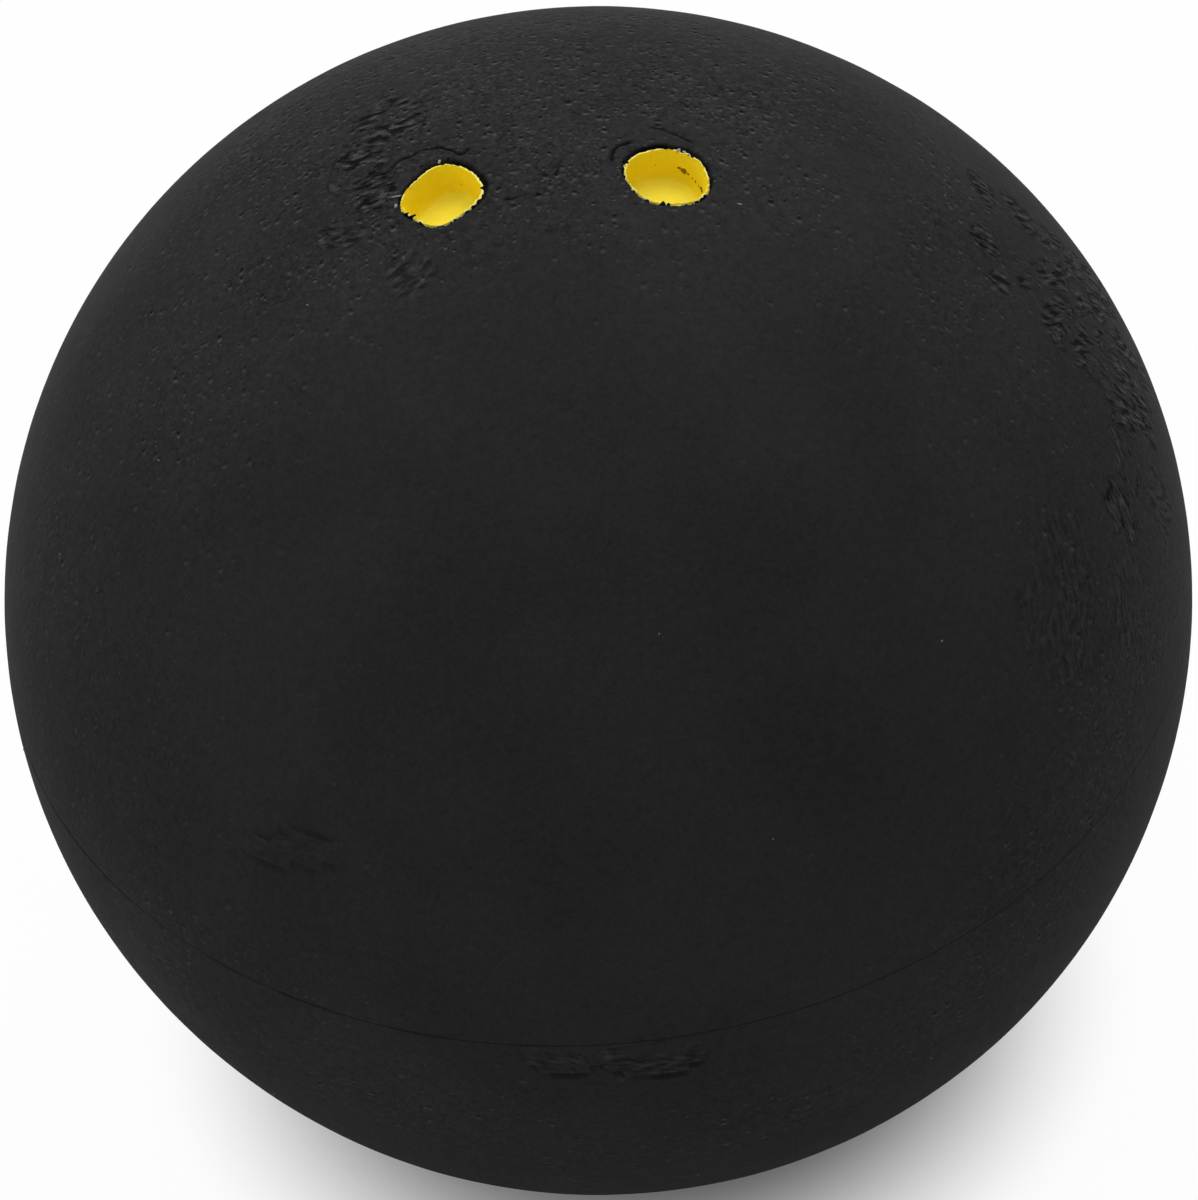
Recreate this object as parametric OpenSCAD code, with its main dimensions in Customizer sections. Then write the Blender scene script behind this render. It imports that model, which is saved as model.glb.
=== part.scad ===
// Squash ball: a hollow rubber ball made as two moulded halves that are glued edge to edge.
// Two painted dots sit in small round recesses near the top pole.
// Lengths are in millimetres and angles in degrees. The origin is the middle of the ball,
// +Z runs to the pole between the dots, and the dots lie side by side along X.

/* [Ball] */
// Outside diameter of the ball
ball_d = 40; // [36:0.5:50]
// Thickness of the rubber wall
wall_t = 5; // [3.5:0.25:7]

/* [Seam] */
// Thickness of the glue film between the two halves
film_t = 0.05; // [0.03:0.01:0.2]
// How far the outer edge of each half is bevelled along the polar axis
bevel_w = 0.03; // [0.02:0.01:0.2]
// Depth of the fine groove that the two bevels leave at the seam
groove_depth = 0.1; // [0.05:0.01:0.4]
// Radius of the bead of glue that is squeezed out inside the ball
bead_r = 0.35; // [0.15:0.05:1]

/* [Dots] */
// Distance between the middles of the two dots, straight across
dot_spacing = 7.4; // [5.5:0.1:12]
// Diameter of the moulded recess that holds a dot
recess_d = 2.75; // [1.6:0.05:4]
// Depth of the recess, from the ball's surface at its middle to its floor
recess_depth = 1.35; // [0.8:0.05:2.5]
// Radius of the fillet between the wall and the floor of the recess
recess_fillet_r = 0.45; // [0.15:0.05:0.75]
// Size of the broken edge round the mouth of the recess
mouth_break = 0.05; // [0.02:0.01:0.2]

/* [Paint] */
// Thickness of the paint that lines a recess
paint_t = 0.08; // [0.04:0.01:0.12]
// How far the paint stops below the broken edge of the mouth
paint_setback = 0.02; // [0.01:0.01:0.15]

/* [Hidden] */
$fn = 128;
rubber_colour = "#262626";
glue_colour = "#4a4238";
dot_colour = "#dcb41e";
// Every cut runs past the surface that it opens by this much
overrun = 0.4;
ball_r = ball_d / 2;
cavity_r = ball_r - wall_t;
// Half the glue film lies on each side of the seam
face_z = film_t / 2;
film_r = ball_r - groove_depth;
// The film runs into the middle of the bead, so that the two are one ring
film_inner_r = cavity_r - bead_r / 2;
recess_r = recess_d / 2;
// The dots lean away from the pole, so that each recess points at the middle of the ball
dot_tilt = asin(dot_spacing / 2 / ball_r);
recess_floor_z = ball_r - recess_depth;
// Height of the recess's wall, from its floor to the round edge that it cuts in the ball
wall_h = sqrt(pow(ball_r, 2) - pow(recess_r, 2)) - recess_floor_z;
break_h = wall_h - mouth_break;
paint_h = break_h - paint_setback;
// The fillet may take up at most this share of the painted wall's height
fillet_limit_share = 0.9;
fillet_r = min(recess_fillet_r, fillet_limit_share * paint_h);

// Half the ball's wall as an outline to the right of the polar axis, above the bonding face
module half_outline() {
    difference() {
        intersection() {
            circle(r = ball_r);
            translate([0, face_z])
                square(ball_r);
        }
        circle(r = cavity_r);
        edge_bevel_outline();
    }
}

// The sliver that the bevel takes off the outer edge of a half
module edge_bevel_outline() {
    slope = bevel_w / groove_depth;
    polygon([
        [film_r, face_z],
        [ball_r + overrun, face_z],
        [ball_r + overrun, face_z + bevel_w + overrun * slope],
    ]);
}

module half_shell() {
    rotate_extrude()
        half_outline();
}

// A round pit with straight walls and a filleted floor, as an outline that stands on its floor
module pit_outline(r, h, corner_r) {
    square([r - corner_r, h]);
    translate([r - corner_r, corner_r]) {
        square([corner_r, h - corner_r]);
        intersection() {
            circle(r = corner_r);
            translate([0, -corner_r])
                square(corner_r);
        }
    }
}

// Places what stands on the floor of a recess: side is -1 for the left dot and 1 for the right
module at_dot(side) {
    rotate([0, side * dot_tilt, 0])
        translate([0, 0, recess_floor_z])
            children();
}

module recess_cut() {
    rise = mouth_break + overrun;
    rotate_extrude()
        pit_outline(recess_r, recess_depth + overrun, fillet_r);
    translate([0, 0, break_h])
        cylinder(r1 = recess_r, r2 = recess_r + rise, h = rise);
}

// The coat of paint on the wall and the floor of a recess
module paint_lining() {
    rotate_extrude()
        difference() {
            pit_outline(recess_r, paint_h, fillet_r);
            translate([0, paint_t])
                pit_outline(recess_r - paint_t, paint_h, fillet_r - paint_t);
        }
}

module upper_half_shell() {
    color(rubber_colour)
        difference() {
            half_shell();
            for (side = [-1, 1])
                at_dot(side)
                    recess_cut();
        }
}

module lower_half_shell() {
    color(rubber_colour)
        mirror([0, 0, 1])
            half_shell();
}

// The ring of glue between the halves, with the bead that stands out inside the ball
module bond_film() {
    color(glue_colour)
        rotate_extrude() {
            translate([film_inner_r, -face_z])
                square([film_r - film_inner_r, film_t]);
            intersection() {
                translate([cavity_r, 0])
                    circle(r = bead_r);
                circle(r = cavity_r);
            }
        }
}

module left_dot() {
    color(dot_colour)
        at_dot(-1)
            paint_lining();
}

module right_dot() {
    color(dot_colour)
        at_dot(1)
            paint_lining();
}

upper_half_shell();
lower_half_shell();
bond_film();
left_dot();
right_dot();
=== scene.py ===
from math import asin, cos, pi, radians, sin, sqrt
from types import SimpleNamespace

import bmesh
import bpy
from mathutils import Matrix, Vector


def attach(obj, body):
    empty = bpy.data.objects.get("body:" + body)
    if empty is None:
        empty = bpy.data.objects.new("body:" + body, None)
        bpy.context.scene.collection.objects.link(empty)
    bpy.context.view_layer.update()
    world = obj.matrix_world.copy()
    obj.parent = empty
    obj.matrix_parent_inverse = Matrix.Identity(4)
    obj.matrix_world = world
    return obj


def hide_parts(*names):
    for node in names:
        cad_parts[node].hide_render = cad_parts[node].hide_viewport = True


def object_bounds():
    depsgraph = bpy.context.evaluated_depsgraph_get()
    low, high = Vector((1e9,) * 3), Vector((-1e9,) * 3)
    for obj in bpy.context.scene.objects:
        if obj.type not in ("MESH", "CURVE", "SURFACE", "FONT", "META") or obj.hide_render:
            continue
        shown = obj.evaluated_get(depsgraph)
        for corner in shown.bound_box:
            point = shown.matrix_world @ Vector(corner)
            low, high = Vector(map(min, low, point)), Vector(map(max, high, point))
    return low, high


bl_info = {
    "name": "Squash Ball",
    "version": (1, 0, 0),
    "blender": (4, 5, 0),
    "location": "View3D > Sidebar > Ball",
    "description": "Dresses a packed squash ball in moulded rubber, glue and dot paint",
    "category": "Object",
}

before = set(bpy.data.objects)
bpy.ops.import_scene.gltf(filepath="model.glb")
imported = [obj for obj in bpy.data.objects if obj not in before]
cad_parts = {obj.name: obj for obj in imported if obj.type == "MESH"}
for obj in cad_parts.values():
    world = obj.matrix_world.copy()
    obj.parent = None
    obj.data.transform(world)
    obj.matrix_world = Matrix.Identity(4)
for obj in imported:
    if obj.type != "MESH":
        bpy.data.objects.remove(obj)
cad_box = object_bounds()

MM = 0.001
BODY = "root"
SIDES = {"left": -1, "right": 1}

# How the real photograph was taken, worked out from the ball's outline, its seam and its dots
CAMERA_DISTANCE = 464.5 * MM
CAMERA_AZIMUTH = radians(2.79)
CAMERA_ELEVATION = radians(46.47)
CAMERA_ROLL = radians(-6.26)
CAMERA_HALF_FRAME_TANGENT = 0.04342

# Two soft round lamps, with the directions from the ball in which they stand, and the square floor
OVERHEAD_LAMP = Vector((0.08, 0.55, 0.83))
SIDE_LAMP = Vector((-0.82, -0.18, 0.42))
LAMP_SIZE = 450 * MM
LAMP_DISTANCE = 500 * MM
HALF_FLOOR = 2000 * MM

# How many faces lie round a recess, along and across the lower half's cap, and round the glue
DOT_COLUMNS = 208
CAP_SQUARES = 160
RING_COLUMNS = 480

# Corners that lie closer together than this become one
MERGE_REACH = 0.003 * MM
# Edges that bend by more than this stay sharp
SHARP_ANGLE = radians(35)
# The base of the powers in which soft edges fall away
FALL = 2.718

# The worn shape of each dot's rim, in millimetres: how much its radius grows, and the cosine and
# sine parts of its waves that run once, twice and four times round it
RIM_SHAPES = {
    "left": (-0.065, (0.008, 0.12), (0, 0), (0.058, -0.023)),
    "right": (-0.055, (0.042, 0.2), (0.033, -0.019), (-0.014, -0.03)),
}
RIM_WAVES = (1, 2, 4)

# The bearing in degrees at which the gap round each dot is widest, and the painted shadow in it heaviest
GAP_BEARINGS = {"left": 45, "right": 80}

# Nicks in each rim, where a tooth of rubber stands over the recess and the paint stops short of it:
# a bearing in degrees, and a depth and half a width in millimetres
RIM_NICKS = {
    "left": ((-161, 0.1, 0.06), (-149, 0.16, 0.06), (2, 0.08, 0.05), (128, 0.05, 0.06)),
    "right": ((-98, 0.12, 0.06), (-88, 0.05, 0.05), (68, 0.08, 0.06), (54, 0.07, 0.05), (150, 0.06, 0.05)),
}

# Creases in the rubber beside each dot: how faint each is, as a depth in millimetres that its line
# lies under the surface, and its points, as distances from the dot's middle in millimetres and
# bearings round it in degrees, counted from +X towards +Y
CREASES = {
    "left": (
        (0, ((3.08, 144), (2.86, 140), (2.58, 134), (2.66, 124), (2.55, 113), (2.57, 104), (2.5, 96),
               (2.41, 89), (2.2, 81), (2, 69), (2.24, 65), (2.34, 61))),
        (0.03, ((1.97, -16), (2.37, -15), (2.96, -11), (3.6, -10))),
    ),
    "right": (
        (0.02, ((1.87, 160), (2.1, 146), (2.17, 135), (2.1, 125), (2.11, 116))),
        (0, ((2.72, 100), (2.47, 88), (2.29, 77), (2.19, 69), (2.19, 61))),
        (0, ((1.62, 125), (1.66, 110), (1.68, 96), (1.72, 82))),
    ),
}
# How deep the ends of a crease sink, and over what length, so that it fades out
CREASE_END_SINK = 0.12 * MM
CREASE_END_LENGTH = 0.3 * MM

# Pale bits of dirt and paint beside each dot, and, at bearing 91 beside the left dot, a pale bit that
# stands for a glint on its rim, a painted highlight: a distance in millimetres, a bearing and a heading
# in degrees, and half the bit's length and width in millimetres
FLECKS = {
    "left": ((1.6, 162, -8, 0.2, 0.026), (1.54, 178, 80, 0.09, 0.055), (1.67, 91, 70, 0.1, 0.045)),
    "right": (
        (1.61, 73, 60, 0.1, 0.06), (1.57, 66, -40, 0.08, 0.045), (1.5, 59, 10, 0.05, 0.035),
        (1.51, 156, 80, 0.06, 0.035), (1.58, 138, 45, 0.04, 0.025), (2.51, -18, -10, 0.09, 0.025),
    ),
}
# Crumbs of dust strewn over the ball: how many on a square metre, and their least and largest shape
DUST_DENSITY = 5000.0
DUST_LEAST = (0.025 * MM, 0.015 * MM, 0.012 * MM)
DUST_LARGEST = (0.06 * MM, 0.04 * MM, 0.02 * MM)

# Specks of dirt on the wall of each recess: a bearing in degrees, and a depth below the ball's
# surface and a radius in millimetres
PAINT_SPECKS = {
    "left": ((70, 0.95, 0.02), (140, 0.9, 0.015)),
    "right": (
        (68, 0.79, 0.06), (61, 0.84, 0.11), (54, 0.88, 0.045), (46, 0.92, 0.035), (39, 0.93, 0.045),
        (31, 0.93, 0.035), (25, 0.9, 0.05), (19, 0.84, 0.09), (13, 0.8, 0.04), (100, 0.75, 0.02),
    ),
}
# The pale yellow of the painted highlight along the paint's edge, the yellow of random streaks in the
# paint and the colour of the dirt on it
EDGE_HIGHLIGHT_PAINT = (0.92, 0.87, 0.38)
STREAKED_PAINT = (0.6, 0.4, 0.0)
PAINT_DIRT = (0.1, 0.045, 0.006)

# The smooth part of the ball, its roughest part and the part of the seam that shows best, each as the
# tilt of its middle from the pole and its bearing in degrees
SMOOTH_FACE = (55, -88)
ROUGH_FACE = (24, 100)
CLEAR_SEAM = (90, -135)

# The spacing of the large and of the small pits in the rubber, and their radius, in millimetres
LARGE_PITS = (0.4, 0.15)
SMALL_PITS = (0.22, 0.09)

# Patches of short wrinkles, as seen on the real ball but for the last six, which are made up for its
# far side in the same way. Each has the tilt of its middle from the pole, its bearing and the heading
# of its streaks in degrees, and in millimetres half its length and width, the streaks' spacing and
# length, and their depth
STREAK_PATCHES = (
    (21.1, 139, 138, 1.3, 1.9, 0.23, 0.55, 0.075), (20.3, 156, 99, 1.1, 1.6, 0.23, 0.52, 0.075),
    (17.6, 171, 108, 0.9, 1, 0.22, 0.5, 0.06), (20.6, -176, 69, 1.1, 0.6, 0.22, 0.5, 0.045),
    (16.4, -148, 86, 1, 1.1, 0.23, 0.55, 0.03), (46.9, 18, -98, 0.6, 1, 0.21, 0.5, 0.06),
    (51.9, 16, -67, 0.9, 1.3, 0.21, 0.6, 0.06), (56.2, 15, -60, 1.2, 0.7, 0.21, 0.65, 0.06),
    (44.4, 6, -95, 0.8, 0.9, 0.21, 0.5, 0.065), (45.9, -1, -90, 0.7, 0.6, 0.21, 0.5, 0.055),
    (50.7, 4, -71, 1.3, 1, 0.21, 0.62, 0.07), (58.2, 8, -60, 2.8, 1.6, 0.21, 0.68, 0.075),
    (62.5, 13, -60, 2.4, 1.4, 0.22, 0.72, 0.075), (55.8, 0, -63, 2, 1.4, 0.21, 0.65, 0.07),
    (62.7, 6, -65, 2.4, 1.8, 0.22, 0.7, 0.075), (61.5, 0, -63, 2.5, 1.7, 0.21, 0.68, 0.075),
    (68.5, 5, -66, 2.4, 1.8, 0.22, 0.72, 0.07), (66.5, -2, -66, 2.3, 2.1, 0.22, 0.7, 0.075),
    (74, -7, -60, 1.6, 1.5, 0.22, 0.65, 0.028), (66.3, -10, -108, 1.4, 1, 0.22, 0.6, 0.06),
    (67.2, -16, -100, 1.5, 0.9, 0.22, 0.6, 0.07), (65.8, -31, -116, 3.4, 2.4, 0.23, 0.55, 0.018),
    (75.2, -23, -112, 3, 1.8, 0.23, 0.55, 0.018), (92.5, -87, -7, 2.1, 1.1, 0.21, 0.55, 0.03),
    (92.4, -96, -19, 1.5, 0.7, 0.21, 0.55, 0.024), (71.5, -121, 20, 2.6, 0.8, 0.22, 0.6, 0.01),
    (52, 118, 35, 5.4, 1.7, 0.22, 0.62, 0.034), (70, 55, -60, 5, 1.8, 0.22, 0.65, 0.036),
    (84, 162, 15, 4.6, 1.2, 0.22, 0.6, 0.026), (112, -20, 50, 5, 1.6, 0.21, 0.62, 0.028),
    (122, 105, -30, 5.6, 1.8, 0.22, 0.65, 0.03), (140, -130, 70, 5.2, 1.5, 0.22, 0.6, 0.026),
)


# Nodes and sums on nodes


def is_vector(value):
    """Whether a term or a plain value has three parts."""
    if isinstance(value, Term):
        return value.socket.type in ("VECTOR", "RGBA")
    return not isinstance(value, (int, float))


def step(operation):
    """A method that works out something from a term and what else it is given."""
    return lambda term, *others: term.graph.reckon(operation, term, *others)


def rule(operation):
    """The two methods of a rule of arithmetic, with the term on its left and on its right."""
    return step(operation), lambda term, other: term.graph.reckon(operation, other, term)


class Term:
    """An output socket. Arithmetic on terms adds the nodes that work it out."""

    __add__, __radd__ = rule("ADD")
    __sub__, __rsub__ = rule("SUBTRACT")
    __mul__, __rmul__ = rule("MULTIPLY")
    __truediv__, __rtruediv__ = rule("DIVIDE")
    __pow__, __rpow__ = rule("POWER")
    __abs__ = step("ABSOLUTE")
    sin = step("SINE")
    cos = step("COSINE")
    arccos = step("ARCCOSINE")
    arctan = step("ARCTANGENT")
    bearing_from = step("ARCTAN2")
    root = step("SQRT")
    sign = step("SIGN")
    at_least = step("MAXIMUM")
    at_most = step("MINIMUM")
    above = step("GREATER_THAN")
    dot = step("DOT_PRODUCT")
    cross = step("CROSS_PRODUCT")
    length = step("LENGTH")
    unit = step("NORMALIZE")

    def __init__(self, graph, socket):
        self.graph = graph
        self.socket = socket

    def within(self, low=0, high=1):
        return self.at_least(low).at_most(high)

    def fade(self, start, end):
        """Rises smoothly from 0 at start to 1 at end, or falls where end is the smaller."""
        inputs = {"Value": self, "From Min": start, "From Max": end}
        return self.graph.node("ShaderNodeMapRange", inputs, interpolation_type="SMOOTHSTEP")

    def parts(self):
        return self.graph.node("ShaderNodeSeparateXYZ", {0: self}, ("X", "Y", "Z"))

    def turned_about_y(self, angle):
        inputs = {"Vector": self, "Angle": angle}
        return self.graph.node("ShaderNodeVectorRotate", inputs, rotation_type="Y_AXIS")


class Graph:
    """A node tree that is being filled: the same class serves shapes and finishes."""

    def __init__(self, tree):
        self.tree = tree
        tree.nodes.clear()

    def node(self, kind, inputs=None, output=0, **settings):
        """Adds a node, with its settings first and then the values or links of its sockets."""
        made = self.tree.nodes.new(kind)
        for name, value in settings.items():
            setattr(made, name, value)
        for key, value in (inputs or {}).items():
            self.plug(self.find(made.inputs, key), value)
        if isinstance(output, tuple):
            return [Term(self, self.find(made.outputs, key)) for key in output]
        return Term(self, self.find(made.outputs, output))

    def end(self, kind, socket, value):
        """Adds the tree's own output node and links a value to it."""
        self.plug(self.tree.nodes.new(kind).inputs[socket], value)

    @staticmethod
    def find(sockets, key):
        """The socket at a place, or with a name, among those that are in use."""
        used = [socket for socket in sockets if socket.enabled]
        if isinstance(key, int):
            return used[key]
        return next(socket for socket in used if socket.name == key)

    def plug(self, socket, value):
        """Links a term to a socket, a list of terms one after another, or sets a plain value."""
        if isinstance(value, list):
            for part in value:
                self.plug(socket, part)
        elif isinstance(value, Term):
            self.tree.links.new(value.socket, socket)
        elif socket.type == "VECTOR" and isinstance(value, (int, float)):
            socket.default_value = (value,) * 3
        elif socket.type == "RGBA":
            socket.default_value = (*value[:3], 1)
        else:
            socket.default_value = value

    def reckon(self, operation, *values):
        """One step of a sum, on numbers or on vectors."""
        kind = "ShaderNodeVectorMath" if any(map(is_vector, values)) else "ShaderNodeMath"
        return self.node(kind, dict(enumerate(values)), operation=operation)

    def xyz(self, x, y, z):
        return self.node("ShaderNodeCombineXYZ", {"X": x, "Y": y, "Z": z})

    def around(self, across, bearing, height):
        """The point at a distance from the Z axis, a bearing round it and a height along it."""
        return self.xyz(across * bearing.cos(), across * bearing.sin(), height)

    def blend(self, share, start, end, kind=None):
        """Goes from start to end as the share goes from 0 to 1."""
        kind = kind or ("VECTOR" if is_vector(start) or is_vector(end) else "FLOAT")
        return self.node("ShaderNodeMix", {"Factor": share, "A": start, "B": end}, data_type=kind)

    def tint(self, share, start, end):
        """The same for colours."""
        return self.blend(share, start, end, "RGBA")

    def noise(self, where, detail=0, output=0):
        """Soft noise from 0 to 1 with waves about one unit long, and finer ones with more detail."""
        return self.node("ShaderNodeTexNoise", {"Vector": where, "Scale": 1, "Detail": detail}, output)

    def wave(self, where, detail=0):
        """The same noise, from about -1 to 1."""
        return self.noise(where, detail) * 2 - 1

    def wobble(self, where):
        """Noise with three parts, each from about -0.5 to 0.5."""
        return self.noise(where, 2, "Color") - 0.5

    def position(self):
        return self.node("GeometryNodeInputPosition")

    def put(self, geometry, position):
        return self.node("GeometryNodeSetPosition", {"Geometry": geometry, "Position": position})

    def together(self, parts):
        return self.node("GeometryNodeJoinGeometry", {"Geometry": parts})

    def real(self, geometry):
        return self.node("GeometryNodeRealizeInstances", {"Geometry": geometry})

    def changed(self, geometry, change, value):
        """Geometry with a Rotation or a Scale."""
        return self.node("GeometryNodeTransform", {"Geometry": geometry, change: value})

    def shown_by(self, thing):
        """The geometry of another object."""
        return self.node("GeometryNodeObjectInfo", {"Object": thing}, "Geometry")


# Shapes by Geometry Nodes


def new_shape(name, settings, **more):
    """Starts the shape tree of a piece, with a named input for each size that it may need, and
    returns its graph and those inputs."""
    tree = bpy.data.node_groups.new(name, "GeometryNodeTree")
    tree.is_modifier = True
    graph = Graph(tree)
    graph.settings = settings
    graph.sizes = {**shape_sizes(settings), **more}
    add = tree.interface.new_socket
    add("Geometry", in_out="INPUT", socket_type="NodeSocketGeometry")
    for label, value in graph.sizes.items():
        add(label, in_out="INPUT", socket_type="NodeSocketFloat").default_value = value
    add("Geometry", in_out="OUTPUT", socket_type="NodeSocketGeometry")
    entry = tree.nodes.new("NodeGroupInput")
    terms = {label: Term(graph, entry.outputs[label]) for label in graph.sizes}
    return graph, SimpleNamespace(geometry=Term(graph, entry.outputs["Geometry"]), **terms)


def shape_sizes(settings):
    """The sizes in the panel and those that follow from them."""
    ball, dots = settings.ball, settings.dots
    sizes = {name: getattr(group, name) for group in (ball, dots) for name in type(group).__annotations__}
    lean = asin(dots.spacing / 2 / ball.radius)
    return {**sizes, "cavity": ball.radius - ball.wall, "floor": ball.radius - dots.depth, "lean": lean}


def new_object(name, data):
    made = bpy.data.objects.new(name, data)
    bpy.context.scene.collection.objects.link(made)
    return made


def grow(graph, geometry, finish, seed_mesh=None):
    """Ends a shape tree, runs it and returns its result as a plain mesh object with outward faces."""
    name = graph.tree.name
    inputs = {"Geometry": graph.real(geometry), "Material": finish_named(finish, graph.settings)}
    graph.end("NodeGroupOutput", "Geometry", graph.node("GeometryNodeSetMaterial", inputs))
    seed = new_object("seed", seed_mesh or bpy.data.meshes.new("seed"))
    modifier = seed.modifiers.new("shape", "NODES")
    modifier.node_group = graph.tree
    for item in graph.tree.interface.items_tree:
        if item.in_out == "INPUT" and item.name in graph.sizes:
            modifier[item.identifier] = graph.sizes[item.name]
    depsgraph = bpy.context.evaluated_depsgraph_get()
    mesh = bpy.data.meshes.new_from_object(seed.evaluated_get(depsgraph), depsgraph=depsgraph)
    bpy.data.objects.remove(seed)
    if not mesh.polygons:
        raise RuntimeError(f"the shape tree of {name} made no faces")
    mesh.name = name
    if mesh.materials[0] is None:
        mesh.materials.pop(index=0)
    turn_faces_outward(mesh)
    mesh.shade_smooth()
    mesh.set_sharp_from_angle(angle=SHARP_ANGLE)
    return new_object(name, mesh)


def turn_faces_outward(mesh):
    work = bmesh.new()
    work.from_mesh(mesh)
    bmesh.ops.recalc_face_normals(work, faces=work.faces)
    work.to_mesh(mesh)
    work.free()


def kept(graph, geometry, **values):
    """Stores numbers and vectors on the corners of a shape, for its finish to read."""
    for name, value in values.items():
        kind = "FLOAT_VECTOR" if is_vector(value) else "FLOAT"
        inputs = {"Geometry": geometry, "Name": name, "Value": value}
        geometry = graph.node("GeometryNodeStoreNamedAttribute", inputs, data_type=kind, domain="POINT")
    return geometry


def sheet(graph, columns, rows, place, **marks):
    """A grid of faces whose corners place(u, v) sets, with u across it and v along it from 0 to 1.
    What each mark says of v is stored on the corners."""
    counts = {"Size X": 1, "Size Y": 1, "Vertices X": columns + 1, "Vertices Y": rows + 1}
    grid = graph.node("GeometryNodeMeshGrid", counts)
    x, y, _ = graph.position().parts()
    u, v = x + 0.5, y + 0.5
    grid = kept(graph, grid, **{name: mark(v) for name, mark in marks.items()})
    return graph.put(grid, place(u, v))


def joined(graph, parts, reach=MERGE_REACH):
    """Parts made one mesh, with the corners that they share merged."""
    inputs = {"Geometry": graph.together(parts), "Distance": reach}
    return graph.node("GeometryNodeMergeByDistance", inputs)


def leg(longest, side):
    """The third side of a right-angled triangle."""
    return (longest**2 - side**2).root()


def hypotenuse(x, y):
    return (x * x + y * y).root()


def half_tangent(angle):
    return (angle / 2).sin() / (angle / 2).cos()


def fallen(power):
    """Falls from 1 towards 0 as a power grows."""
    return FALL ** (power * -1)


def bell(off):
    """Falls from 1 to 0 on both sides of nothing, within about two units."""
    return fallen(off * off)


def on_ball(graph, radius, tilt, bearing):
    """The point of a ball at an angle of tilt from its pole and a bearing round it."""
    return graph.around(radius * tilt.sin(), bearing, radius * tilt.cos())


def end_tilt(size):
    """The tilt from the pole at which the skin of a half ends and the band beside the seam starts."""
    return ((size.film / 2 + size.band) / size.radius).arccos()


def inner_sheets(graph, size, columns, bearing):
    """The edge of a half from its outer face down to the joint, the joint's face and the inside."""
    joint = size.film / 2

    def band(u, v):
        height = joint + size.band * (1 - v) ** 2
        return graph.around(leg(size.radius, height), bearing(u), height)

    def face(u, v):
        across = graph.blend(v, leg(size.radius, joint), leg(size.cavity, joint))
        return graph.around(across, bearing(u), joint)

    def cavity(u, v):
        tilt = (joint / size.cavity).arccos() * (1 - v)
        return on_ball(graph, size.cavity, tilt, bearing(u))

    return [sheet(graph, columns, rows, place) for rows, place in ((9, band), (1, face), (16, cavity))]


def recess_stretches(size):
    """How long the floor, the fillet, the wall and the rounded mouth of a recess are in section."""
    wall = leg(size.radius, size.recess + size.mouth) - size.mouth - size.floor - size.fillet
    return size.recess - size.fillet, size.fillet * (pi / 2), wall, size.mouth * (pi / 2)


def recess_profile(size, path):
    """The section of a recess at a length of path that starts at the middle of its floor, climbs the
    wall, turns over the mouth and goes on over the ball: the distance from the axis, the height along
    it and the lean of the surface."""
    flat, fillet_path, wall, mouth_path = recess_stretches(size)
    rim = size.recess + size.mouth
    past_flat = path - flat
    past_fillet = past_flat - fillet_path
    past_wall = past_fillet - wall
    fillet_turn = (past_flat / size.fillet).within(0, pi / 2)
    mouth_turn = (past_wall / size.mouth).within(0, pi / 2)
    across = path.within(0, flat) + size.fillet * fillet_turn.sin() + size.mouth * (1 - mouth_turn.cos())
    across = across + (past_wall - mouth_path).at_least(0)
    height = size.floor + size.fillet * (1 - fillet_turn.cos()) + past_fillet.within(0, wall)
    height = height + size.mouth * mouth_turn.sin()
    height = height + (leg(size.radius, across.at_least(rim)) - leg(size.radius, rim))
    return across, height, fillet_turn - mouth_turn


def recess_sheets(graph, size, columns):
    """The outside of the half with both recesses, laid in rings that start in a recess, spread to a
    figure of eight round the pair and end as circles at the edge of the half."""
    focus = half_tangent(size.lean) * 1.4
    end_ratio = (half_tangent(end_tilt(size)) / focus) ** 2
    whole = sum(recess_stretches(size))

    def even_turn(u):
        return (u * 2 - 1) * pi

    def crowded_turn(u):
        return ((u * 2 - 1) * (pi / 2)).sin() * pi

    def oval(ratio, turn, roundness):
        """A point of the oval round both dots whose size is given by the ratio, in part made round."""
        x = ratio * turn.cos() + 1
        y = (ratio * abs(turn).sin()).at_least(0)
        reach = graph.blend(roundness, (x * x + y * y) ** 0.25, ratio.root()) * focus
        bearing = graph.blend(roundness, y.bearing_from(x), abs(turn)) / 2 * turn.sign()
        return on_ball(graph, size.radius, reach.arctan() * 2, bearing)

    def recess(u, v):
        across, height, _ = recess_profile(size, whole * (1 - (1 - v) ** 1.7))
        return graph.around(across, even_turn(u), height).turned_about_y(size.lean)

    def skin(u, v):
        turn = graph.blend(v, crowded_turn(u), even_turn(u))
        return oval(end_ratio ** (v * v * 1.5 / (v + 0.5)), turn, v * v)

    def collar(u, v):
        """From the rim, where the recess ends, to the figure of eight, where the skin starts."""
        return graph.blend(v**1.35, recess(u, 1), skin(u, 0)).unit() * size.radius

    rings = ((24, recess), (40, collar), (128, skin))
    outside = [sheet(graph, columns, rows, place) for rows, place in rings]
    return outside + inner_sheets(graph, size, columns, lambda u: even_turn(u) / 2)


def cap_sheet(graph, size):
    """A square grid spread over the round cap of the lower half, with its corners drawn in evenly."""
    off_diagonal = 1e-6

    def cap(u, v):
        x = u * 2 - 1
        y = v * 2 - 1
        is_wide = (abs(x) + off_diagonal).above(abs(y))
        across = graph.blend(is_wide, y, x)
        turn = graph.blend(is_wide, pi / 2 - x / y * (pi / 4), y / x * (pi / 4))
        tilt = abs(across) * end_tilt(size)
        return graph.around(size.radius * tilt.sin() * across.sign(), turn, size.radius * tilt.cos())

    return sheet(graph, CAP_SQUARES, CAP_SQUARES, cap)


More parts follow.
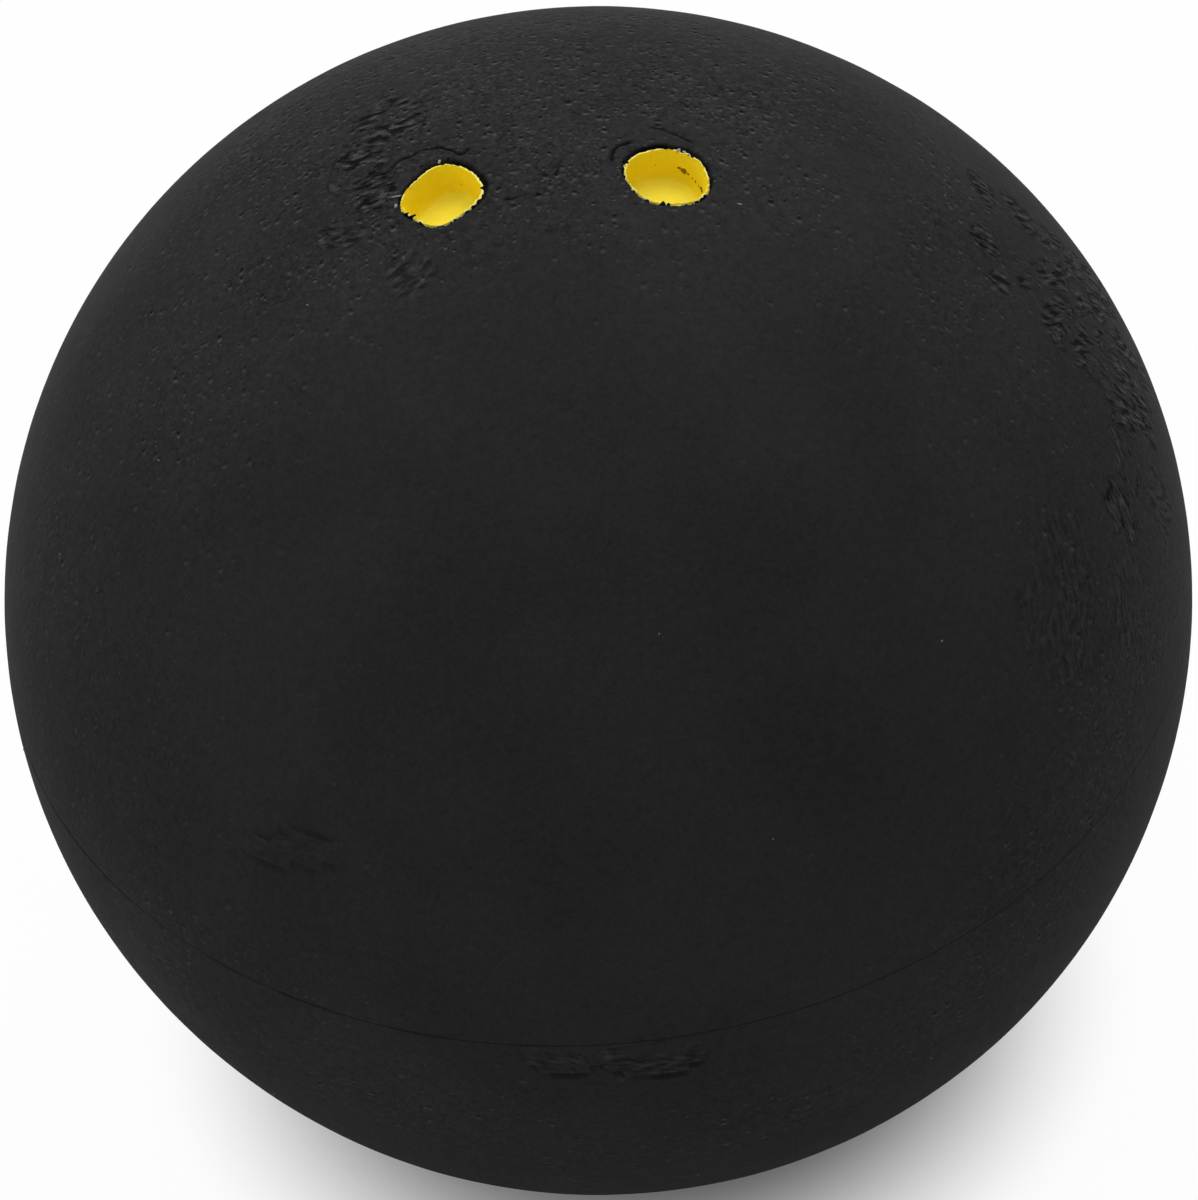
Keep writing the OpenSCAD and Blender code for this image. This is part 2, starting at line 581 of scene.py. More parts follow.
def rim_swell(side, turn):
    """How far the worn shape of a rim lies outside a circle at a bearing, in millimetres."""
    swell, *waves = RIM_SHAPES[side]
    for times, (cosine_part, sine_part) in zip(RIM_WAVES, waves):
        many = turn * times
        is_term = isinstance(many, Term)
        swell = (many.cos() if is_term else cos(many)) * cosine_part + swell
        swell = (many.sin() if is_term else sin(many)) * sine_part + swell
    return swell


def nicked(turn, side, recess):
    """How far the nicks of a rim reach in at a bearing, in millimetres."""
    reach = 0
    for bearing, depth, half_width in RIM_NICKS[side]:
        angle = radians(bearing)
        off_nick = (1 - (turn.cos() * cos(angle) + turn.sin() * sin(angle))) * 2
        reach = fallen(off_nick * (recess / (half_width * MM)) ** 2) * depth + reach
    return reach


def seen_from_dot(size, position, side):
    """A position as it lies from the axis of a dot, and how far the dot's rim swells towards it."""
    local = position.turned_about_y(size.lean * -SIDES[side])
    x, y, z = local.parts()
    turn = y.bearing_from(x)
    return SimpleNamespace(
        local=local, x=x, y=y, z=z, across=hypotenuse(x, y), turn=turn, swell=rim_swell(side, turn)
    )


def worn_rims(graph, size, geometry):
    """Moves what lies near a recess sideways, so that its rim has its worn shape and ragged edge."""
    position = graph.position()
    rim_height = leg(size.radius, size.recess)
    for side, sign in SIDES.items():
        seen = seen_from_dot(size, position, side)
        near = (
            seen.across.fade(size.recess + 0.7 * MM, size.recess + 0.05 * MM)
            * seen.across.fade(size.recess * 0.3, size.recess * 0.9)
            * seen.z.fade(size.floor - 2 * MM, size.floor - 0.5 * MM)
        )
        at_top = seen.z.fade(rim_height - 0.5 * MM, rim_height - 0.1 * MM)
        ring = graph.around(size.recess, seen.turn, seen.z * 0.4) / MM
        ragged = graph.wave(ring * 7 + sign, 1) * 0.06 + graph.wave(ring * 2.2) * 0.06
        ragged = ragged - nicked(seen.turn, side, size.recess)
        push = (seen.swell + ragged * at_top) * near * MM
        placed = (seen.local + graph.around(1, seen.turn, 0) * push).turned_about_y(size.lean * sign)
        position = placed.unit() * position.length()
    return graph.put(geometry, position)


def seam_share(graph, size):
    """How deep the groove along the seam is at each place, from 0 to 1."""
    position = graph.position()
    _, _, z = position.parts()
    clear = facing(position, CLEAR_SEAM).fade(0.75, 0.88)
    strength = graph.noise(position / (2.3 * MM) + 3).fade(0.42, 0.62) * (clear * 0.75 + 0.25)
    return strength * bell((abs(z) - size.film / 2).at_least(0) / size.groove_width)


def gap_share(graph, size):
    """How deep the thin gap round the rim of each dot is at each place, and how much painted shadow
    darkens the gap and the rim inside it, heaviest on one side, both from 0 to 1."""
    whole = 0
    dark = 0
    position = graph.position()
    uneven = graph.wave(position / (0.22 * MM), 1) * 0.05
    _, _, height = position.parts()
    for side, sign in SIDES.items():
        seen = seen_from_dot(size, position, side)
        widest = radians(GAP_BEARINGS[side])
        heavy = ((seen.x * cos(widest) + seen.y * sin(widest)) / seen.across).fade(-0.3, 0.9)
        middle = size.recess + size.mouth + (seen.swell + heavy * (uneven + 0.085) + 0.012) * MM
        off_middle = (seen.across - middle) / ((heavy * 0.052 + 0.038) * MM)
        broken = graph.noise(position / (0.4 * MM) + sign).fade(0.25, 0.6) * 0.5 + 0.5
        strength = broken * (heavy * 0.2 + 0.8) * height.above(0)
        whole = strength * bell(off_middle) + whole
        # Painted shadow: the gap and the rim inside it are darkened in colour, most on the heavy side
        dark = strength.at_least(heavy) * height.above(0) * bell(off_middle.at_least(0)) + dark
    return whole, dark


def crease_share(graph, size, creases):
    """How deep the creases beside the dots are at each place, from 0 to 1."""
    position = graph.position()
    sample = position + graph.wobble(position / (0.4 * MM)) * 0.18 * MM
    inputs = {0: creases, "Sample Position": sample}
    off_line = graph.node("GeometryNodeProximity", inputs, "Distance", target_element="EDGES")
    return bell(off_line / size.crease_width)


def sunken(graph, size, geometry, depth):
    """Sinks the ball's outer face by a depth, and by what moulding leaves it uneven."""
    position = graph.position()
    weight = position.length().fade(size.radius - 0.06 * MM, size.radius - 0.005 * MM)
    uneven = graph.noise(position / (17 * MM)).fade(0.25, 0.75)
    uneven = uneven + graph.noise(position / (4 * MM) + 7) * 0.2
    uneven = uneven + graph.noise(position / (1.4 * MM) + 2) * 0.2
    return graph.put(geometry, position - position.unit() * ((uneven * size.unevenness + depth) * weight))


def from_dot(settings, side, across, bearing, height):
    """The point at a distance and a bearing in degrees from a dot's axis, and a height along it."""
    angle = radians(bearing)
    lean = asin(settings.dots.spacing / 2 / settings.ball.radius) * SIDES[side]
    return Matrix.Rotation(lean, 3, "Y") @ Vector((across * cos(angle), across * sin(angle), height))


def beside_dot(settings, side, across, bearing):
    """The point of the ball at a distance and a bearing from a dot's axis."""
    return from_dot(settings, side, across, bearing, sqrt(settings.ball.radius**2 - across**2))


def smooth_line(points, steps=6):
    """More points along a smooth curve through the given ones."""
    made = []
    for i in range(len(points) - 1):
        before, start = points[max(i - 1, 0)], points[i]
        end, after = points[i + 1], points[min(i + 2, len(points) - 1)]
        for k in range(steps):
            t = k / steps
            bend = (2 * before - 5 * start + 4 * end - after) * t * t
            turn = (3 * start - before - 3 * end + after) * t**3
            made.append((2 * start + (end - before) * t + bend + turn) / 2)
    return made + [points[-1]]


def crease_lines(settings):
    """A wire object along the creases, whose ends sink into the rubber so that a crease fades out."""
    corners, edges = [], []
    for side, creases in CREASES.items():
        for faintness, crease in creases:
            line = smooth_line([beside_dot(settings, side, across * MM, turn) for across, turn in crease])
            edges += [(len(corners) + i, len(corners) + i + 1) for i in range(len(line) - 1)]
            for point in line:
                to_end = min((point - end).length for end in (line[0], line[-1]))
                end_sink = CREASE_END_SINK * max(0, 1 - to_end / CREASE_END_LENGTH) ** 2
                corners.append(point.normalized() * (settings.ball.radius - (faintness * MM + end_sink)))
    mesh = bpy.data.meshes.new("crease_lines")
    mesh.from_pydata(corners, edges, [])
    return new_object("crease_lines", mesh)


def patch_axes(tilt, bearing, heading=0):
    """The middle of a patch of the ball as a direction, and the directions along and across its
    streaks. The heading is counted in degrees from east towards the pole."""
    tilt, bearing, heading = radians(tilt), radians(bearing), radians(heading)
    middle = Vector((sin(tilt) * cos(bearing), sin(tilt) * sin(bearing), cos(tilt)))
    east = Vector((-sin(bearing), cos(bearing), 0))
    along = cos(heading) * east + sin(heading) * middle.cross(east)
    return middle, along, middle.cross(along)


def facing(position, place):
    """The cosine of the angle between a position and a place of the ball."""
    return position.unit().dot(patch_axes(*place)[0])


def with_wear(graph, geometry):
    """Stores on the corners of a half how coarse its skin is there, how deep the wrinkles of its
    patches are, and where the corner lies among them, counted in lengths and spacings of them."""
    position = graph.position()
    where = position / MM
    smooth = facing(position, SMOOTH_FACE).fade(0.55, 0.84)
    rough = facing(position, ROUGH_FACE).fade(0.76, 0.95)
    coarse = graph.noise(where / 6, 1).fade(0.44, 0.64)
    clumps = graph.noise(where / 1.6 + 4, 1).fade(0.36, 0.64)
    coarse = coarse * 0.2 + clumps * 0.15 + 0.12 + rough * (coarse * 0.15 + clumps * 0.3 + 0.2)
    coarse = (coarse * (1 - smooth)).within()
    edge = graph.noise(where / 1.1, 1) * 1.2 - 0.6
    place = graph.xyz(0, 0, 0)
    strength = 0
    for tilt, bearing, heading, half_long, half_wide, spacing, reach, depth in STREAK_PATCHES:
        middle, along, across = patch_axes(tilt, bearing, heading)
        offset = where - middle * (graph.settings.ball.radius / MM)
        far = offset.dot(along / half_long) ** 2 + offset.dot(across / half_wide) ** 2
        deep = offset.dot(middle) / max(half_long, half_wide)
        share = (far + deep * deep + edge).fade(1, 0.5)
        local = graph.xyz(offset.dot(along / reach), offset.dot(across / spacing), bearing)
        inside = share.above(0)
        place = graph.blend(inside, place, local)
        strength = graph.blend(inside, strength, share * depth)
    place = place + graph.xyz(0, graph.wave(where / 0.9) * 0.8, 0)
    strength = strength * graph.noise(where / 0.9 + 3).fade(0.28, 0.5)
    return kept(graph, geometry, coarseness=coarse, wrinkle_depth=strength, wrinkle_place=place)


def weathered(graph, size, half, shades=(), depths=()):
    """A half with the groove of the seam and any other shades and depths put on it, and its wear."""
    seam = seam_share(graph, size)
    # The stored shade darkens the rubber along the seam, for dirt and painted shade in it, and by any
    # shades given, such as the painted shade of the gaps round the dots and of the creases
    half = kept(graph, half, shade=sum(shades, seam * 0.4))
    return with_wear(graph, sunken(graph, size, half, sum(depths, seam * size.groove)))


# Finishes


def shaded(tone, share):
    """A colour made darker or lighter by a share."""
    return tuple(part * share for part in tone)


def stored(graph, name, output="Fac"):
    """What a shape tree stored on the corners of the piece."""
    return graph.node("ShaderNodeAttribute", None, output, attribute_name=name)


def pits(graph, where, spacing, size, often, seed=0):
    """Little pits at random places, of which a share is there, as a number from 0 to 1."""
    cells = {"Vector": where / spacing + seed, "Scale": 1}
    distance, mark = graph.node("ShaderNodeTexVoronoi", cells, ("Distance", "Color"))
    x, y, _ = mark.parts()
    return (distance * spacing).fade(size, 0) * x.above(1 - often) * (y * 0.7 + 0.3)


def rubber_finish(graph, where, settings):
    """Moulded rubber. Like each finish, it gives a colour, a height in millimetres that roughens the
    surface, a roughness and a specular level."""
    look = settings.look
    coarse = stored(graph, "coarseness")
    small_seed, lip_offset, bend = 9, 0.09, 0.16
    fine = graph.wave(where / 0.12, 1)
    broad = graph.wave(where / 0.3, 1)
    bent = where + graph.wobble(where / bend) * bend
    to_lip = where.unit().cross((1, 0, 0)) * lip_offset
    often = coarse * 0.9 + 0.012
    dents = pits(graph, bent, *LARGE_PITS, often)
    lit_lips = pits(graph, bent + to_lip, *LARGE_PITS, often)
    often = coarse * 0.7
    small_dents = pits(graph, bent, *SMALL_PITS, often, small_seed)
    small_lit_lips = pits(graph, bent + to_lip * 0.7, *SMALL_PITS, often, small_seed)
    streaks = graph.noise(stored(graph, "wrinkle_place", "Vector"), 1)
    depth = stored(graph, "wrinkle_depth")
    grooves = streaks.fade(0.5, 0.64) * depth
    ridges = streaks.fade(0.46, 0.34) * depth * 0.5
    clear = (coarse * 1.6 + 0.2).at_most(1)
    height = fine * (coarse * 0.006 + 0.003) + broad * (coarse * 0.02 + 0.003)
    height = height - (dents * 0.06 + small_dents * 0.03 - lit_lips * 0.02) * clear - grooves + ridges
    cloud = graph.noise(where / 7, 2).fade(0.35, 0.65) * 0.16 - 0.08
    mottle = fine * (coarse * 0.65 + 0.28) + broad * (coarse * 0.55 + 0.17)
    # Painted highlight: the lips on one side of each pit and the ridges of the wrinkles are made lighter
    pale = (lit_lips * 3.8 + small_lit_lips * 3.2) * clear + ridges * 38
    base = graph.xyz(*look.rubber) * (cloud + mottle + pale + 1).at_least(0.2)
    # Painted shade: the pits and the wrinkles' grooves are made darker, and so is the rubber where the
    # stored shade lies
    painted_shade = (dents * 1.5 + small_dents * 1.2) * clear + grooves * 16 + stored(graph, "shade")
    base = graph.tint(painted_shade.at_most(0.93), base, shaded(look.rubber, 0.08))
    roughness = graph.noise(where / 1.1, 1) * 0.1 + (look.rubber_roughness - 0.05)
    return base, height, roughness, look.rubber_shine


def paint_finish(graph, where, settings):
    """Thick matt paint, lighter on the recess's floor than on its wall as painted light and shade,
    paler along its edge as a painted highlight, and with specks of dirt.
    """
    look = settings.look
    # The floor's paint is painted lighter than the wall's: painted light on the floor, painted shade on
    # the wall
    base = graph.tint(stored(graph, "pooled"), look.paint, look.pooled_paint)
    base = graph.tint(graph.noise(where / 0.35, 2).fade(0.3, 0.7) * 0.06, base, STREAKED_PAINT)
    # Painted highlight: the paint is made paler along its edge
    base = graph.tint(stored(graph, "worn_edge") * 0.7, base, EDGE_HIGHLIGHT_PAINT)
    bent = graph.wobble(where / 0.07)
    dirt = pits(graph, where, spacing=0.5, size=0.025, often=0.2, seed=2).fade(0.2, 0.8) * 0.4
    for side, specks in PAINT_SPECKS.items():
        for bearing, depth, size in specks:
            wall = settings.dots.recess - settings.dots.paint + rim_swell(side, radians(bearing)) * MM
            speck = from_dot(settings, side, wall, bearing, settings.ball.radius - depth * MM) / MM
            dirt = dirt + (where + bent * (size * 1.2) - speck).length().fade(size * 1.25, size * 0.85)
    base = graph.tint(dirt.at_most(0.85), base, PAINT_DIRT)
    roughness, specular = 0.6, 0.05
    return base, graph.wave(where / 0.12, 1) * 0.003, roughness, specular


def fleck_finish(graph, where, settings):
    """Pale dirt, much darker where it is dust."""
    pale = settings.look.fleck
    base = graph.tint(graph.noise(where / 0.3), pale, shaded(pale, 0.4))
    base = graph.tint(stored(graph, "dust") * 0.6, base, shaded(pale, 0.15))
    roughness, specular = 0.8, 0.05
    return base, graph.wave(where / 0.03) * 0.003, roughness, specular


def glue_finish(graph, where, settings):
    """Dark rubber glue."""
    glue = settings.look.glue
    base = graph.tint(graph.noise(where / 0.9, 2), glue, shaded(glue, 0.6))
    roughness = 0.7
    return base, graph.wave(where / 0.4) * 0.01, roughness, settings.look.rubber_shine


def new_finish(name):
    """Starts a material and returns it with its graph and the place on the object in millimetres."""
    finish = bpy.data.materials.new(name)
    finish.use_nodes = True
    graph = Graph(finish.node_tree)
    return finish, graph, graph.node("ShaderNodeTexCoord", None, "Object") / MM


def finish_named(name, settings):
    """The finish with this name, made when it is first asked for."""
    makers = {
        "moulded_rubber": rubber_finish,
        "dot_paint": paint_finish,
        "seam_glue": glue_finish,
        "pale_fleck": fleck_finish,
    }
    finish = bpy.data.materials.get(name)
    if finish:
        return finish
    finish, graph, where = new_finish(name)
    base, height, roughness, specular = makers[name](graph, where, settings)
    normal = graph.node("ShaderNodeBump", {"Strength": 1, "Distance": MM, "Height": height})
    inputs = {"Base Color": base, "Roughness": roughness, "Specular IOR Level": specular, "Normal": normal}
    graph.end("ShaderNodeOutputMaterial", "Surface", graph.node("ShaderNodeBsdfPrincipled", inputs))
    return finish


# Sizes, colours and the stage's settings


def amount(name, description, value, **more):
    return bpy.props.FloatProperty(name=name, description=description, default=value, min=0, **more)


def length(name, description, value):
    return amount(name, description, value * MM, precision=6, unit="LENGTH")


def power(name, description, value):
    return amount(name, description, value, unit="POWER")


def share(name, description, value, high=1):
    return amount(name, description, value, max=high, subtype="FACTOR")


def colour(name, description, value):
    return bpy.props.FloatVectorProperty(
        name=name, description=description, default=value, min=0, max=1, size=3, subtype="COLOR"
    )


class BallSizes(bpy.types.PropertyGroup):
    """Sizes of the two halves and the glue between them"""

    radius: length("Ball radius", "Outside radius of the ball, from the packed model", cad_box[1].z / MM)
    wall: length("Wall", "Thickness of the rubber wall", 5)
    film: length("Glue film", "Thickness of the glue between the halves", 0.05)
    bead: length("Glue bead", "Radius of the bead of glue inside the ball", 0.35)
    band: length("Edge band", "Width of the finely divided band beside the seam", 0.6)
    unevenness: length("Unevenness", "How far the outside wanders inwards from a true ball", 0.07)
    groove: length("Groove depth", "Depth of the fine groove along the seam", 0.02)
    groove_width: length("Groove width", "Distance over which the groove falls away", 0.05)


class DotSizes(bpy.types.PropertyGroup):
    """Sizes of the two painted dots and of the rubber round them"""

    spacing: length("Spacing", "Distance between the middles of the dots", 7.4)
    recess: length("Recess radius", "Radius of the recess that holds a dot", 1.375)
    depth: length("Recess depth", "Depth of the recess below the ball's surface", 1.35)
    fillet: length("Fillet", "Radius between the wall and the floor of the recess", 0.45)
    mouth: length("Mouth round", "Radius of the rounded edge of the recess", 0.05)
    rim_gap: length("Rim gap", "Depth of the thin dark gap round the rim of a dot", 0.15)
    paint: length("Paint", "Thickness of the paint in a recess", 0.08)
    crease: length("Crease depth", "Depth of the creases beside the dots", 0.09)
    crease_width: length("Crease width", "Distance over which a crease falls away", 0.05)


class Finishes(bpy.types.PropertyGroup):
    """Colours and shine of the ball's materials"""

    rubber: colour("Rubber", "Colour of the rubber", (0.0195, 0.0195, 0.0195))
    rubber_roughness: share("Rubber roughness", "How matt the rubber is", 0.72)
    rubber_shine: share("Rubber shine", "Specular level of the rubber", 0.03)
    # The wall's and the floor's paint are a shaded and a lit copy of one yellow: painted shade on the
    # wall, painted light on the floor
    paint: colour("Paint", "Colour of the paint on a recess's wall", (0.865, 0.68, 0.016))
    pooled_paint: colour("Pooled paint", "Colour of the paint where it lies thick", (0.915, 0.78, 0.056))
    fleck: colour("Flecks", "Colour of the pale flecks", (0.42, 0.41, 0.36))
    glue: colour("Glue", "Colour of the glue in the seam", (0.013, 0.012, 0.011))


class StageSettings(bpy.types.PropertyGroup):
    """Light and floor of the studio"""

    floor: colour("Floor", "Colour of the floor", (0.74, 0.74, 0.74))
    lamp_power: power("Overhead lamp", "Power of the soft lamp above and behind the ball", 1.72)
    side_power: power("Side lamp", "Power of the soft lamp on the left", 0.38)
    fill: share("Fill light", "Strength of the even light from all round", 0.56, 2)


class BallSettings(bpy.types.PropertyGroup):
    """Everything about the ball that a user would change"""

    ball: bpy.props.PointerProperty(type=BallSizes, name="Ball", description="Sizes of the halves")
    dots: bpy.props.PointerProperty(type=DotSizes, name="Dots", description="Sizes of the dots")
    look: bpy.props.PointerProperty(type=Finishes, name="Finishes", description="Colours and shine")
    stage: bpy.props.PointerProperty(type=StageSettings, name="Stage", description="Light and floor")


# Operators


class BALL_OT_stage(bpy.types.Operator):
    """Sets up the camera, the lamps, the pale surroundings and the floor"""

    bl_idname = "ball.stage"
    bl_label = "Stage"

    def execute(self, context):
        settings = context.scene.squash_ball
        place_camera(context.scene)
        place_lamp("overhead_lamp", OVERHEAD_LAMP, settings.stage.lamp_power)
        place_lamp("side_lamp", SIDE_LAMP, settings.stage.side_power)
        fill_world(context.scene, settings.stage)
        lay_floor(settings)
        context.scene.view_settings.view_transform = "Standard"
        return {"FINISHED"}


def place_camera(scene):
    """A camera that looks at the ball from the photo's place, turned, tipped and rolled as there."""
    turned = Matrix.Rotation(CAMERA_AZIMUTH, 4, "Z") @ Matrix.Rotation(pi / 2 - CAMERA_ELEVATION, 4, "X")
    rolled = turned @ Matrix.Rotation(CAMERA_ROLL, 4, "Z")
    camera = new_object("camera", bpy.data.cameras.new("camera"))
    camera.data.lens = camera.data.sensor_width / 2 / CAMERA_HALF_FRAME_TANGENT
    camera.matrix_world = rolled @ Matrix.Translation((0, 0, CAMERA_DISTANCE))
    scene.camera = camera


def place_lamp(name, direction, watts):
    """A round lamp that looks at the ball from a direction."""
    lamp = bpy.data.lights.new(name, "AREA")
    lamp.shape = "DISK"
    lamp.size = LAMP_SIZE
    lamp.energy = watts
    lamp_object = new_object(name, lamp)
    lamp_object.location = direction.normalized() * LAMP_DISTANCE
    lamp_object.rotation_euler = direction.to_track_quat("Z", "Y").to_euler()


def seen_rays(graph):
    """Whether a ray comes from the camera, and whether it comes from a mirror or through glass."""
    names = ("Is Camera Ray", "Is Glossy Ray", "Is Transmission Ray")
    camera, glossy, through = graph.node("ShaderNodeLightPath", None, names)
    return camera, (glossy + through).at_most(1)


def fill_world(scene, stage):
    world = bpy.data.worlds.new("studio")
    world.use_nodes = True
    graph = Graph(world.node_tree)
    camera, mirrored = seen_rays(graph)
    strength = graph.blend((camera + mirrored).at_most(1), stage.fill, 1)
    glow = graph.node("ShaderNodeBackground", {"Color": (1, 1, 1), "Strength": strength})
    graph.end("ShaderNodeOutputWorld", "Surface", glow)
    scene.world = world


def lay_floor(settings):
    square = ((-1, -1), (1, -1), (1, 1), (-1, 1))
    corners = [(x * HALF_FLOOR, y * HALF_FLOOR, -settings.ball.radius) for x, y in square]
    mesh = bpy.data.meshes.new("floor")
    mesh.from_pydata(corners, [], [(0, 1, 2, 3)])
    floor = new_object("floor", mesh)
    mesh.materials.append(floor_finish(settings))


def floor_finish(settings):
    """A pale floor that looks white round the ball, keeps its shadow and is seen from above alone."""
    finish, graph, where = new_finish("floor")
    x, y, _ = where.parts()
    away = hypotenuse(x, y)
    tone = settings.stage.floor
    base = graph.tint(graph.noise(where / 3, 2), shaded(tone, 0.98), tone)
    matt = graph.node("ShaderNodeBsdfDiffuse", {"Color": base})
    glow = graph.node("ShaderNodeEmission", {"Color": (1, 1, 1), "Strength": 1})
    camera, mirrored = seen_rays(graph)
    # Painted shadow: the white glow is taken away within about 17.5 mm of the point under the ball,
    # leaving a darker disc of matt floor there, partly the ball's real shadow and partly painted shadow;
    # reflections see the matt floor out to 60 mm
    white_share = camera * away.fade(8.5, 17.5) * 0.96 + mirrored * away.fade(30, 60)
    lit = graph.node("ShaderNodeMixShader", {0: white_share.at_most(1), 1: matt, 2: glow})
    underside = graph.node("ShaderNodeNewGeometry", None, "Backfacing")
    clear = graph.node("ShaderNodeBsdfTransparent")
    top_only = graph.node("ShaderNodeMixShader", {0: underside, 1: lit, 2: clear})
    graph.end("ShaderNodeOutputMaterial", "Surface", top_only)
    return finish


class BALL_OT_upper_half(bpy.types.Operator):
    """Makes the upper half of the ball, with the two recesses and the creases beside them"""

    bl_idname = "ball.upper_half"
    bl_label = "Upper half"

    def execute(self, context):
        settings = context.scene.squash_ball
        graph, size = new_shape("upper_half_rubber", settings)
        wire = crease_lines(settings)
        right = graph.together(recess_sheets(graph, size, DOT_COLUMNS))
        half = joined(graph, [right, graph.changed(right, "Rotation", (0, 0, pi))])
        half = worn_rims(graph, size, half)
        gaps, dark = gap_share(graph, size)
        folds = crease_share(graph, size, graph.shown_by(wire))
        # dark and folds go into the stored shade: painted shadow in the gap round each dot and painted
        # shade in the creases
        half = weathered(graph, size, half, [dark, folds], [gaps * size.rim_gap, folds * size.crease])
        piece = grow(graph, half, "moulded_rubber")
        bpy.data.objects.remove(wire)
        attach(piece, BODY)
        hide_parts("upper_half_shell")
        return {"FINISHED"}


class BALL_OT_lower_half(bpy.types.Operator):
    """Makes the lower half of the ball"""

    bl_idname = "ball.lower_half"
    bl_label = "Lower half"

    def execute(self, context):
        graph, size = new_shape("lower_half_rubber", context.scene.squash_ball)
        inner = inner_sheets(graph, size, CAP_SQUARES * 4, lambda u: u * (2 * pi))
        half = joined(graph, [cap_sheet(graph, size), *inner])
        half = graph.changed(half, "Scale", (1, 1, -1))
        piece = grow(graph, weathered(graph, size, half), "moulded_rubber")
        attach(piece, BODY)
        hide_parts("lower_half_shell")
        return {"FINISHED"}


class BALL_OT_bond_film(bpy.types.Operator):
    """Makes the film of glue between the halves, with its uneven bead inside the ball"""

    bl_idname = "ball.bond_film"
    bl_label = "Glue film"

    def execute(self, context):
        graph, size = new_shape("glue_ring", context.scene.squash_ball)
        rows, edge_inset = 24, 0.003 * MM

        def profile(u, v):
            """From the middle of the outer edge over the top to the middle of the bead."""
            edge = (v * 6).within()
            inward = (v * 6 - 1).within()
            rise = (v * 6 - 2).within()
            roll = (v * 2 - 1).within() * (pi / 2)
            bead = size.bead * roll.cos()
            across = graph.blend(inward, size.radius - edge_inset, size.cavity) - size.bead * roll.sin()
            return graph.around(across, u * (2 * pi), graph.blend(rise, edge * (size.film / 2), bead))

        upper = sheet(graph, RING_COLUMNS, rows, profile)
        ring = joined(graph, [upper, graph.changed(upper, "Scale", (1, 1, -1))])
        position = graph.position()
        x, y, _ = position.parts()
        swell = graph.wave(position / (2.1 * MM) + 5, 1) * 0.12 * MM
        swell = swell * hypotenuse(x, y).fade(size.cavity, size.cavity - size.bead)
        ring = graph.put(ring, position + graph.xyz(x, y, 0).unit() * swell)
        ring = sunken(graph, size, ring, seam_share(graph, size) * size.groove)
        piece = grow(graph, ring, "seam_glue")
        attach(piece, BODY)
        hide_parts("bond_film")
        return {"FINISHED"}


class BALL_OT_dots(bpy.types.Operator):
    """Makes the coat of paint that lines each recess"""

    bl_idname = "ball.dots"
    bl_label = "Dots"

    def execute(self, context):
        for side, sign in SIDES.items():
            graph, size = new_shape(f"{side}_paint", context.scene.squash_ball, seed=3.0 + sign)
            piece = grow(graph, painted_lining(graph, size, side), "dot_paint")
            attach(piece, BODY)
            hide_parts(f"{side}_dot")
        return {"FINISHED"}


def painted_lining(graph, size, side):
    """A closed coat of paint: its back lies on the recess and its front comes back from the ragged
    edge, which lies halfway along the sheet."""
    rows, back_sink, edge_round, thinning, reach = 72, 0.004 * MM, 0.03 * MM, 0.5 * MM, 0.002 * MM
    whole = sum(recess_stretches(size))

    def to_edge(v):
        return 1 - abs(v * 2 - 1)

    def path_to(end, v):
        return end * (1 - (1 - to_edge(v)) ** 1.6)

    def ragged_end(turn):
        ring = graph.around(1, turn, size.seed) * (size.recess / MM)
        wander = graph.wave(ring * 0.9) * 0.03 + graph.wave(ring * 6, 1) * 0.05
        tongues = graph.noise(ring * 2.7 + 11).fade(0.6, 0.8) * 0.08
        return whole + (wander + tongues - nicked(turn, side, size.recess) - 0.01) * MM

    def lining(u, v):
        turn = (u * 2 - 1) * pi
        end = ragged_end(turn)
        path = path_to(end, v)
        across, height, lean = recess_profile(size, path)
        thin = path.fade(end - thinning, end) * 0.8
        edge = ((end - path) / edge_round).within().root()
        lift = graph.blend(v.above(0.5), -back_sink, size.paint * (1 - thin)) * edge
        across, height = across - lean.sin() * lift, height + lean.cos() * lift
        return graph.around(across, turn, height).turned_about_y(size.lean * SIDES[side])

    # Where the recess's floor takes the lit copy of the paint, a painted light, from 1 on the floor to 0
    # up the wall
    def pooled(v):
        flat = size.recess - size.fillet
        return path_to(whole, v).fade(flat + size.fillet * 0.8, flat + size.fillet * 0.4)

    # Where the paint is made paler along its edge, a painted highlight on the rim
    def worn_edge(v):
        return to_edge(v).fade(0.88, 0.97)

    coat = sheet(graph, DOT_COLUMNS, rows, lining, worn_edge=worn_edge, pooled=pooled)
    coat = worn_rims(graph, size, joined(graph, [coat], reach))
    return sunken(graph, size, coat, gap_share(graph, size)[0] * size.rim_gap)


class BALL_OT_flecks(bpy.types.Operator):
    """Makes the pale flecks of dirt and paint that lie on the rubber"""

    bl_idname = "ball.flecks"
    bl_label = "Flecks"

    def execute(self, context):
        settings = context.scene.squash_ball
        graph, size = new_shape("pale_flecks", settings, density=DUST_DENSITY)
        halves = [bpy.data.objects[name] for name in ("upper_half_rubber", "lower_half_rubber")]
        skin = graph.together([graph.shown_by(half) for half in halves])
        crumb = graph.node("GeometryNodeMeshIcoSphere", {"Radius": 1, "Subdivisions": 2})
        bits = [strewn_dust(graph, size, skin, crumb), placed_flecks(graph, size, skin, crumb)]
        position = graph.position()
        roughened = position + position.unit() * graph.wave(position / (0.05 * MM)) * 0.012 * MM
        flecks = graph.put(graph.real(graph.together(bits)), roughened)
        position = graph.position()
        inside_box = position.unit() * position.length().at_most(size.radius - 0.002 * MM)
        flecks = graph.put(flecks, inside_box)
        piece = grow(graph, flecks, "pale_fleck", fleck_places(settings))
        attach(piece, BODY)
        return {"FINISHED"}


